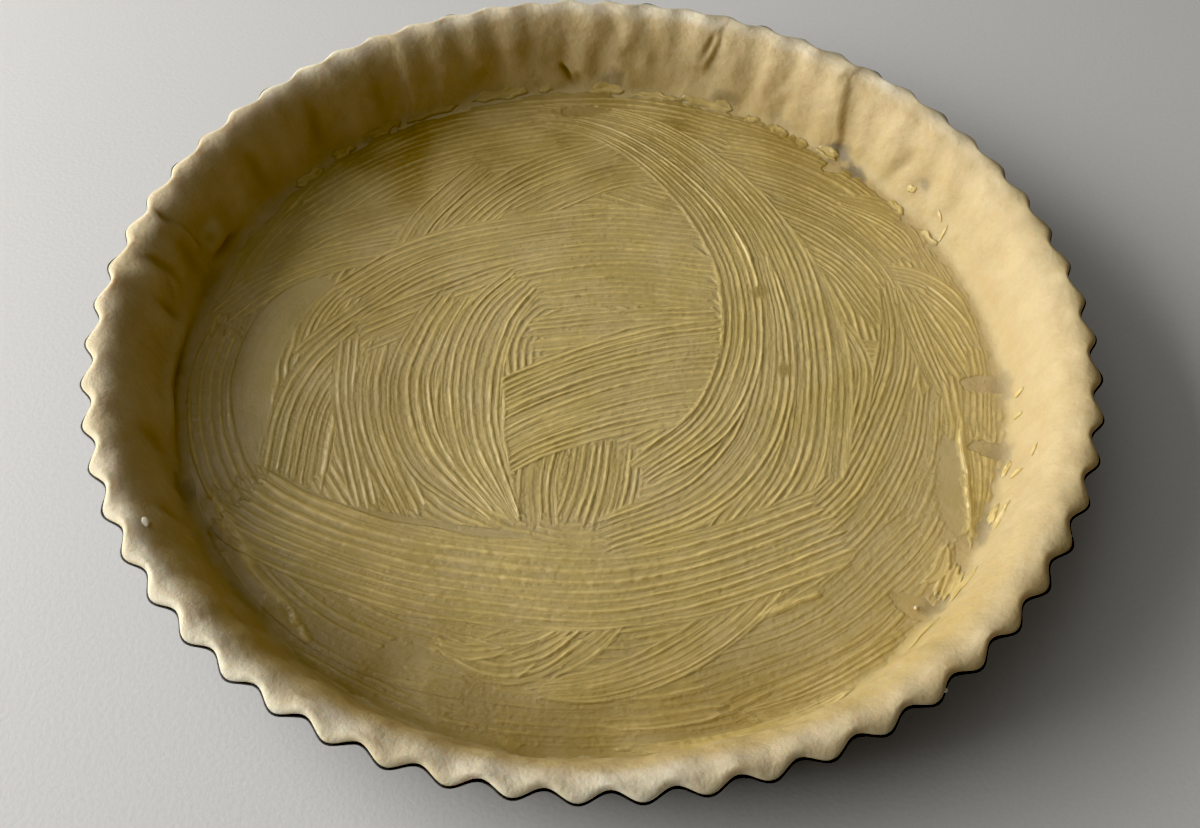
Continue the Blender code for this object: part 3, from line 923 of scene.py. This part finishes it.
def build_pastry(settings):
    reaches = pastry_reaches()
    radius, height = (np.interp(reaches, SECTION_REACH, part) for part in SECTION.T[:2])
    form = bmesh.new()
    row_layer = spin_section(form, zip(radius, height), PASTRY_STEPS)
    reach = np.interp(read_layer(form, row_layer), np.arange(len(reaches)), reaches)
    angle = angles_of(form)
    place_verts(form, *pastry_point(angle, reach))
    close_holes(form)
    mesh = to_mesh(form, "pastry_case")
    mesh.attributes.remove(mesh.attributes["row"])
    _, shaded_creases, lit_swellings = hand_marks(angle, reach, np.interp(reach, SECTION_REACH, SECTION[:, 1]))
    # Painted shade: the outer side of the rolled edge at the right, which faces away from the light, is
    # darkened through the crease colour
    shaded = step(reach, INNER_END - 2.5, INNER_END + 0.6)
    shaded = shaded * step(np.cos(angle + math.radians(25)), 0.5, 0.95)
    shaded_creases = shaded_creases + 0.5 * shaded * (1 + 0.6 * waves_round(angle, 50, reach / 9.0, 94))
    for name, values in (
        ("thin", thin_dough(angle, reach)),
        ("stained", stained_dough(angle, reach)),
        ("flour", flour_and_light_on_edge(angle, reach)),
        ("crease", shaded_creases),
        ("swelling", lit_swellings),
    ):
        everywhere = name in ("flour", "crease")
        set_attribute(mesh, name, np.where((reach < INNER_END) | everywhere, values, 0.0))
    finish_piece(new_object("pastry_case", mesh, raw_dough(settings)), "pastry", "pastry")


def thin_dough(angle, reach):
    """Where the dough is so thin that the tin shows grey through it."""
    total = np.zeros(len(angle))
    for degrees, level, wide, tall, amount in THIN_DOUGH:
        distance = np.hypot(round_distance(angle, degrees) / wide, (reach - section_at(level)) / tall)
        distance = distance + 0.35 * waves(angle * 60.0, reach / 2.0, 91)
        total = np.maximum(total, amount * step(1.3 - distance, 0.0, 0.8))
    return total


def flour_and_light_on_edge(angle, reach):
    """Flour left on the rolled edge, partly painted light: most at the back, front and left, where the edge
    is lightened as if lit, and least at the right, where the edge faces away from the light.
    """
    amount = 0.15 + 0.85 * step(np.abs(np.sin(angle)), 0.3, 0.85) + 0.45 * step(-np.cos(angle), 0.4, 0.9)
    amount = amount * (1 - 0.75 * step(np.cos(angle + math.radians(35)), 0.75, 0.97))
    patchy = 0.8 + 0.4 * waves_round(angle, 70, reach / 6.0, 93)
    return np.clip(amount * patchy * step(reach, INNER_END - 6.5, INNER_END - 1.5), 0, 1)


def stained_dough(angle, reach):
    """Where a film of mustard runs up the wall."""
    total = np.zeros(len(angle))
    for toward, low, high, full, none, amount in (
        (-np.sin(angle), 0.45, 0.75, 25.0, 30.5, 1.0),
        (-np.cos(angle), 0.1, 0.8, 6.0, 20.0, 0.45),
        (np.sin(angle), 0.3, 0.7, 7.0, 21.0, 0.5),
        (np.cos(angle), 0.5, 0.9, 6.0, 17.0, 0.4),
    ):
        fade = 1 - step(reach, section_at(full), section_at(none))
        total = np.maximum(total, amount * step(toward, low, high) * fade)
    patchy = 0.8 + 0.35 * waves_round(angle, 90, reach / 3.5, 92)
    patchy = patchy + 0.35 * waves_round(angle, 320, reach / 1.6, 95)
    return total * np.clip(patchy, 0, 1)


def raw_dough(settings):
    """Matte raw shortcrust: mottled cream, fine floury grain, a faint buttery sheen and grey thin places,
    with painted shade in creases, painted light on swellings and flour that is partly painted light.
    """
    finish = Finish("raw shortcrust", Subsurface_Weight=0.35, Subsurface_Scale=0.005, IOR=1.4)
    finish.shader.inputs["Subsurface Radius"].default_value = (1.0, 0.6, 0.3)
    broad = finish.noise(22, detail=3)
    color = finish.mix(finish.ramp(broad, (0.35, 0.0), (0.7, 1.0)) * 0.75, settings.dough, settings.butter)
    stained = finish.attribute("stained")
    mottled = finish.patches(2.8, 0.42, 0.64, detail=5, roughness=0.68, shift=0.5) * (stained * 0.4 + 0.08)
    runs = finish.patches(5, 0.42, 0.66, detail=4, roughness=0.6, stretch=(1, 1, 0.3), shift=0.8)
    color = finish.layers(
        color,
        (finish.patches(7, 0.4, 0.68, detail=4, roughness=0.6, shift=0.3) * 0.3, (0.52, 0.37, 0.17)),
        (runs * 0.3, (0.54, 0.41, 0.2)),
        (finish.patches(1.3, 0.52, 0.72, detail=4, roughness=0.7) * 0.12, (0.78, 0.68, 0.5)),
        (mottled, (0.52, 0.38, 0.165)),
        (finish.patches(0.8, 0.72, 0.76, detail=1, shift=0.7) * 0.3, (0.4, 0.27, 0.12)),
        (stained * 0.85, (0.59, 0.445, 0.185)),
        # Flour on the rolled edge, partly painted light that lightens the edge at the back, front and left
        (finish.attribute("flour") * 0.8, (0.88, 0.79, 0.61)),
        # Painted light: the swellings are lightened as if they caught the light
        (finish.attribute("swelling") * 0.5, (0.76, 0.64, 0.38)),
        # Painted shade in the creases, lap edges and dents of the wall and on the right of the rolled edge
        (finish.attribute("crease") * 0.6, (0.34, 0.235, 0.08)),
        (finish.attribute("thin"), settings.thin),
    )
    grain = finish.noise(1.0, detail=5, roughness=0.7)
    bump = finish.bump(finish.noise(4.5, detail=4), settings.grain * 4, 0.9)
    bump = finish.bump(grain, settings.grain * 1.1, 0.8, under=bump)
    rough = 0.46 + broad * 0.12 + grain * 0.16
    return finish.feed(Base_Color=color, Roughness=rough, Normal=bump)


# The mustard


def floor_height(x, y):
    """Height of the pastry's floor and of the hollow at the wall's foot, in millimetres."""
    angle, radius = np.arctan2(y, x), np.hypot(x, y)
    reach = np.clip(radius - SECTION[0, 0], 0, None)
    for _ in range(3):
        px, py, pz = pastry_point(angle, reach)
        reach = np.clip(reach + (radius - np.hypot(px, py)), 0, section_at(12.0))
    return pz


def build_mustard(settings):
    """The brushed layer in strips of about the same area, which share the rows of points where they meet."""
    cell = settings.cell / MM
    half = math.ceil(MUSTARD_REACH / cell)
    ticks = np.arange(-half, half + 1) * cell
    grid_x, grid_y = np.meshgrid(ticks, ticks, indexing="ij")
    x, y = grid_x.ravel(), grid_y.ravel()
    inside = np.hypot(x, y) < MUSTARD_REACH + 1.0
    outer = inside & (np.hypot(x, y) >= 100.0)
    field = mustard_field(x[inside], y[inside])
    grids = {name: np.full(x.shape, NO_MUSTARD) for name in field}
    for name, values in field.items():
        grids[name][inside] = values
    level = np.full(x.shape, FLOOR_TOP)
    level[outer] = floor_height(x[outer], y[outer])
    grids["height"] = level + grids["thickness"]
    grids = {name: values.reshape(grid_x.shape) for name, values in grids.items()}
    slope_x, slope_y = np.gradient(grids["height"], cell)
    material = brushed_mustard(settings)
    near, far = (round(share * MUSTARD_REACH / cell) for share in STRIP_CUTS)
    cuts = (-half, -far, -near, near, far, half)
    for name, first, last in zip(("far_left", "left", "middle", "right", "far_right"), cuts, cuts[1:]):
        mesh = mustard_strip("mustard_" + name, first, last, half, settings.cell)
        place = np.empty(len(mesh.vertices) * 3)
        mesh.vertices.foreach_get("co", place)
        place = place.reshape(-1, 3)
        top = place[:, 2] > -MM / 2
        column = np.round(place[:, 0] / settings.cell).astype(int) + half
        row = np.round(place[:, 1] / settings.cell).astype(int) + half
        place[:, 2] = np.where(top, grids["height"][column, row], UNDERSIDE) * MM
        mesh.vertices.foreach_set("co", place.ravel())
        normals = np.stack([-slope_x[column, row], -slope_y[column, row], np.ones(len(column))], axis=1)
        normals[~top] = (0, 0, -1)
        normals /= np.linalg.norm(normals, axis=1)[:, None]
        mesh.normals_split_custom_set_from_vertices(normals)
        set_attribute(mesh, "thickness", np.clip(grids["thickness"][column, row], 0, 1.5) * top)
        for layer in ("across", "along", "stroke", "pool"):
            set_attribute(mesh, layer, grids[layer][column, row])
        finish_piece(new_object("mustard_" + name, mesh, material), "mustard", "mustard")


def mustard_strip(name, first, last, half, cell):
    """A strip of a grid between two of its columns, cut to the round floor, with a side and an underside."""
    form = bmesh.new()
    middle = Matrix.Translation(((first + last) / 2 * cell, 0, 0))
    sized = Matrix.Diagonal(((last - first) * cell, 2 * half * cell, 1.0, 1.0))
    place = middle @ sized
    bmesh.ops.create_grid(form, x_segments=last - first, y_segments=2 * half, size=0.5, matrix=place)
    outside = [vert for vert in form.verts if vert.co.xy.length > (MUSTARD_REACH - 0.1) * MM]
    bmesh.ops.delete(form, geom=outside, context="VERTS")
    border = [edge for edge in form.edges if edge.is_boundary]
    sides = bmesh.ops.extrude_edge_only(form, edges=border)["geom"]
    lower = [item for item in sides if isinstance(item, bmesh.types.BMVert)]
    bmesh.ops.translate(form, verts=lower, vec=(0, 0, -MM))
    close_holes(form)
    return to_mesh(form, name)


def brushed_mustard(settings):
    """Wet mustard: a film over the dough, yellow ridges, the brush's finest lines and glints, and brown pools
    with painted shade towards the back and front walls.
    """
    finish = Finish("brushed mustard", IOR=1.42, Coat_Roughness=0.13)
    thickness = finish.attribute("thickness")
    depth = finish.ramp(thickness, (0.0, 0.0), (0.06, 0.3), (0.16, 0.75), (0.5, 1.0))
    ridge = finish.ramp(thickness, (0.1, 0.0), (0.22, 0.45), (0.36, 1.0))
    across, along, stroke = (finish.attribute(name) for name in ("across", "along", "stroke"))
    place = finish.node("ShaderNodeCombineXYZ", None, {"X": across, "Y": along * 0.09, "Z": stroke * 3.7})
    sockets = {"Vector": place, "Scale": 1.25, "Detail": 3.0, "Roughness": 0.6}
    lines = finish.node("ShaderNodeTexNoise", None, sockets)
    cloudy = finish.noise(17, detail=4, roughness=0.6)
    color = finish.layers(
        finish.mix(depth, settings.film, (0.55, 0.42, 0.155)),
        (ridge, settings.thick),
        (finish.ramp(thickness, (0.45, 0.0), (0.95, 1.0)), (0.86, 0.73, 0.37)),
        (finish.ramp(lines, (0.42, 0.0), (0.62, 1.0)) * 0.2, (0.45, 0.335, 0.115)),
        (finish.ramp(cloudy, (0.42, 0.0), (0.66, 1.0)) * 0.45, (0.67, 0.54, 0.29)),
        (finish.patches(26, 0.46, 0.66, detail=4, roughness=0.6, shift=0.6) * 0.4, (0.49, 0.37, 0.115)),
        (finish.patches(3.2, 0.45, 0.7, detail=4, roughness=0.65, shift=0.4) * 0.2, (0.46, 0.34, 0.11)),
        (finish.patches(0.75, 0.75, 0.79, detail=1, shift=0.9) * 0.4, (0.16, 0.1, 0.03)),
        # Brown of the pools, partly painted shade towards the back and front walls
        (finish.attribute("pool") * (0.58 - ridge * 0.24), (0.3, 0.2, 0.045)),
    )
    bump = finish.bump(lines * depth, 0.0005, 0.7)
    bump = finish.bump(finish.noise(0.6, detail=3, roughness=0.6), 0.00012, 0.8, under=bump)
    rough = 0.46 - depth * 0.18 + cloudy * 0.06
    wet = finish.ramp(finish.noise(9, detail=3, shift=0.2), (0.4, 0.1), (0.65, 0.65))
    return finish.feed(Base_Color=color, Roughness=rough, Coat_Weight=wet, Normal=bump)


def build_smears(settings):
    """Smears and blobs that the brush left on the wall, as one piece of closed patches."""
    form = bmesh.new()
    thick = form.verts.layers.float.new("thickness")
    for number, smear in enumerate(WALL_SMEARS):
        add_smear(form, thick, number, smear)
    bmesh.ops.recalc_face_normals(form, faces=form.faces)
    mesh = to_mesh(form, "mustard_smears")
    finish_piece(new_object("mustard_smears", mesh, brushed_mustard(settings)), "mustard")


def add_smear(form, layer, number, smear):
    """One closed patch that follows the pastry's surface, sunk a little into it at its edge."""
    degrees, level, length, width, turn, thickness, ridges = smear
    known = len(form.verts)
    bmesh.ops.create_grid(form, x_segments=SMEAR_CELLS[0], y_segments=SMEAR_CELLS[1], size=1.0)
    form.verts.ensure_lookup_table()
    verts = form.verts[known:]
    u = np.array([vert.co.x for vert in verts])
    v = np.array([vert.co.y for vert in verts])
    disc_u, disc_v = u * np.sqrt(1 - v * v / 2), v * np.sqrt(1 - u * u / 2)
    distance = np.hypot(disc_u, disc_v)
    ragged = 1 + 0.28 * waves(disc_u * 1.6, disc_v * 1.6 + number * 5.3, 55)
    ragged = ragged + 0.12 * waves(disc_u * 5, disc_v * 5, 56)
    across, up = turned(disc_u * length / 2 * ragged, disc_v * width / 2 * ragged, -turn)
    angle = math.radians(degrees) + across / WALL_RADIUS
    reach = section_at(level) + up
    top = np.array(pastry_point(angle, reach))
    inward = -np.array([np.cos(angle), np.sin(angle), angle * 0 - 0.35]) / math.hypot(1.0, 0.35)
    ribs = 0.75 + 0.25 * np.cos(disc_v * math.pi * (2 * ridges - 1)) if ridges > 1 else 1.0
    body = (1 - distance**2.6) * ribs * (1 + 0.3 * waves(disc_u * 3, disc_v * 3 + number, 57))
    lift = thickness * body - SMEAR_SINK * step(distance, 0.8, 1.0)
    place = (top + inward * lift) * MM
    for vert, spot, amount in zip(verts, place.T.tolist(), body * thickness):
        vert.co = spot
        vert[layer] = amount
    form.verts.index_update()
    border = [item for item in form.edges if item.is_boundary and item.verts[0].index >= known]
    sides = bmesh.ops.extrude_edge_only(form, edges=border)["geom"]
    lower = [item for item in sides if isinstance(item, bmesh.types.BMVert)]
    outward = Vector((math.cos(math.radians(degrees)), math.sin(math.radians(degrees)), -0.3))
    bmesh.ops.translate(form, verts=lower, vec=outward * SMEAR_DEPTH * MM)
    bmesh.ops.holes_fill(form, edges=[item for item in form.edges if item.is_boundary], sides=0)


def build_crumbs():
    """The bits of dough and flour, as one piece of small lumps."""
    form = bmesh.new()
    for number, (degrees, radius, height, length, width) in enumerate(CRUMBS):
        angle = math.radians(degrees)
        if radius > EDGE_CRUMBS:
            radius = radius - 0.7 + FLUTE_DEPTH / 2 * fluting(angle)
        place = Matrix.Translation(Vector((radius * math.cos(angle), radius * math.sin(angle), height)) * MM)
        sized = Matrix.Diagonal((width / 2 * MM, length / 2 * MM, width / 4 * MM, 1.0))
        ball = bmesh.ops.create_icosphere(form, subdivisions=3, radius=1.0)["verts"]
        spots = np.array([vert.co for vert in ball])
        swell = 1 + 0.35 * waves(spots[:, 0] * 1.7 + number * 7.1, spots[:, 1] * 1.7 + spots[:, 2], 96)
        for vert, amount in zip(ball, swell):
            vert.co *= float(amount)
        bmesh.ops.transform(form, matrix=place @ Matrix.Rotation(angle, 4, "Z") @ sized, verts=ball)
    bmesh.ops.recalc_face_normals(form, faces=form.faces)
    finish = Finish("floury crumbs", Subsurface_Weight=0.2, Subsurface_Scale=0.001, Roughness=0.45)
    dust = finish.noise(0.8, detail=3)
    material = finish.feed(Base_Color=finish.mix(dust * 0.5, (0.86, 0.79, 0.63), (0.74, 0.63, 0.42)))
    finish_piece(new_object("pastry_crumbs", to_mesh(form, "pastry_crumbs"), material), "pastry")


# The stage


def build_stage(settings):
    counter = Finish("pale counter", IOR=1.45)
    pores = counter.noise(1.3, detail=3, roughness=0.6)
    tint = counter.mix(counter.noise(60, detail=2) * 0.12, settings.counter, (0.7, 0.7, 0.7))
    tint = counter.mix(counter.ramp(pores, (0.4, 0.0), (0.7, 1.0)) * 0.22, tint, (0.66, 0.655, 0.65))
    counter.feed(Base_Color=tint, Roughness=0.42 + pores * 0.12, Normal=counter.bump(pores, 0.00012, 0.5))
    form = bmesh.new()
    bmesh.ops.create_grid(form, x_segments=8, y_segments=8, size=COUNTER_SIZE)
    floor = new_object("counter", to_mesh(form, "counter"), counter.material)
    add_light("window", (-1.25, 0.11, 0.48), (1.5, 0.94), settings.window, (1.0, 0.985, 0.955))
    add_light("ceiling", (-0.7, 0.1, 1.1), (1.2, 1.2), settings.window * 0.085, (0.97, 0.98, 1.0))
    world = bpy.data.worlds.new("room")
    bpy.context.scene.world = world
    world.use_nodes = True
    back = world.node_tree.nodes["Background"]
    back.inputs["Color"].default_value = (1.0, 0.945, 0.85, 1.0)
    back.inputs["Strength"].default_value = settings.room
    scene = bpy.context.scene
    scene.view_settings.view_transform = "Standard"
    scene.view_settings.look = "None"
    scene.view_settings.use_curve_mapping = True
    scene.view_settings.curve_mapping.black_level = (BLACK_LEVEL,) * 3
    scene.view_settings.curve_mapping.update()


def add_light(name, place, size, power, color):
    """A wide soft light that looks at the middle of the case."""
    lamp = bpy.data.lights.new(name, "AREA")
    lamp.shape = "RECTANGLE"
    lamp.size, lamp.size_y = size
    lamp.energy = power
    lamp.color = color
    made = bpy.data.objects.new(name, lamp)
    place = Vector(place)
    made.matrix_world = Matrix.Translation(place) @ (-place).to_track_quat("-Z", "Y").to_matrix().to_4x4()
    bpy.context.scene.collection.objects.link(made)


def add_camera():
    lens = bpy.data.cameras.new("camera")
    lens.sensor_width = SENSOR
    lens.lens = CAMERA_LENS
    lens.clip_start = 0.01
    made = bpy.data.objects.new("camera", lens)
    right, up = (Vector(axis) for axis in CAMERA_AXES)
    axes = Matrix((right, up, right.cross(up))).transposed().to_4x4()
    made.matrix_world = Matrix.Translation(CAMERA_PLACE) @ axes
    bpy.context.scene.collection.objects.link(made)
    bpy.context.scene.camera = made


# Operators


class QUICHE_OT_tin(bpy.types.Operator):
    """Adds the fluted tin"""

    bl_idname = "quiche.tin"
    bl_label = "Fluted tin"

    def execute(self, context):
        build_tin(context.scene.quiche_tin)
        return {"FINISHED"}


class QUICHE_OT_pastry(bpy.types.Operator):
    """Adds the raw pastry case"""

    bl_idname = "quiche.pastry"
    bl_label = "Raw pastry"

    def execute(self, context):
        build_pastry(context.scene.quiche_pastry)
        return {"FINISHED"}


class QUICHE_OT_mustard(bpy.types.Operator):
    """Adds the brushed mustard on the floor"""

    bl_idname = "quiche.mustard"
    bl_label = "Brushed mustard"

    def execute(self, context):
        build_mustard(context.scene.quiche_mustard)
        return {"FINISHED"}


class QUICHE_OT_smears(bpy.types.Operator):
    """Adds the smears of mustard on the wall"""

    bl_idname = "quiche.smears"
    bl_label = "Smears on the wall"

    def execute(self, context):
        build_smears(context.scene.quiche_mustard)
        return {"FINISHED"}


class QUICHE_OT_crumbs(bpy.types.Operator):
    """Adds the bits of dough and flour"""

    bl_idname = "quiche.crumbs"
    bl_label = "Crumbs of dough"

    def execute(self, context):
        build_crumbs()
        return {"FINISHED"}


class QUICHE_OT_stage(bpy.types.Operator):
    """Adds the pale counter, the soft light and the camera"""

    bl_idname = "quiche.stage"
    bl_label = "Counter, light and camera"

    def execute(self, context):
        build_stage(context.scene.quiche_stage)
        add_camera()
        return {"FINISHED"}


SETTINGS = {
    "quiche_tin": TinSettings,
    "quiche_pastry": PastrySettings,
    "quiche_mustard": MustardSettings,
    "quiche_stage": StageSettings,
}
OPERATORS = (
    QUICHE_OT_stage,
    QUICHE_OT_tin,
    QUICHE_OT_pastry,
    QUICHE_OT_mustard,
    QUICHE_OT_smears,
    QUICHE_OT_crumbs,
)


class QUICHE_PT_panel(bpy.types.Panel):
    """Lists the steps that build the quiche case"""

    bl_label = "Quiche case"
    bl_idname = "QUICHE_PT_panel"
    bl_space_type = "VIEW_3D"
    bl_region_type = "UI"
    bl_category = "Quiche"

    def draw(self, context):
        for operator in OPERATORS:
            self.layout.operator(operator.bl_idname)
        for name, group in SETTINGS.items():
            box = self.layout.box()
            for setting in group.__annotations__:
                box.prop(getattr(context.scene, name), setting)


def register():
    for group in SETTINGS.values():
        bpy.utils.register_class(group)
    for name, group in SETTINGS.items():
        setattr(bpy.types.Scene, name, PointerProperty(type=group))
    for operator in OPERATORS:
        bpy.utils.register_class(operator)
    bpy.utils.register_class(QUICHE_PT_panel)


def unregister():
    bpy.utils.unregister_class(QUICHE_PT_panel)
    for operator in reversed(OPERATORS):
        bpy.utils.unregister_class(operator)
    for name, group in SETTINGS.items():
        delattr(bpy.types.Scene, name)
        bpy.utils.unregister_class(group)


def main():
    register()
    bpy.ops.quiche.stage()
    bpy.ops.quiche.tin()
    bpy.ops.quiche.pastry()
    bpy.ops.quiche.mustard()
    bpy.ops.quiche.smears()
    bpy.ops.quiche.crumbs()


if __name__ == "__main__":
    main()
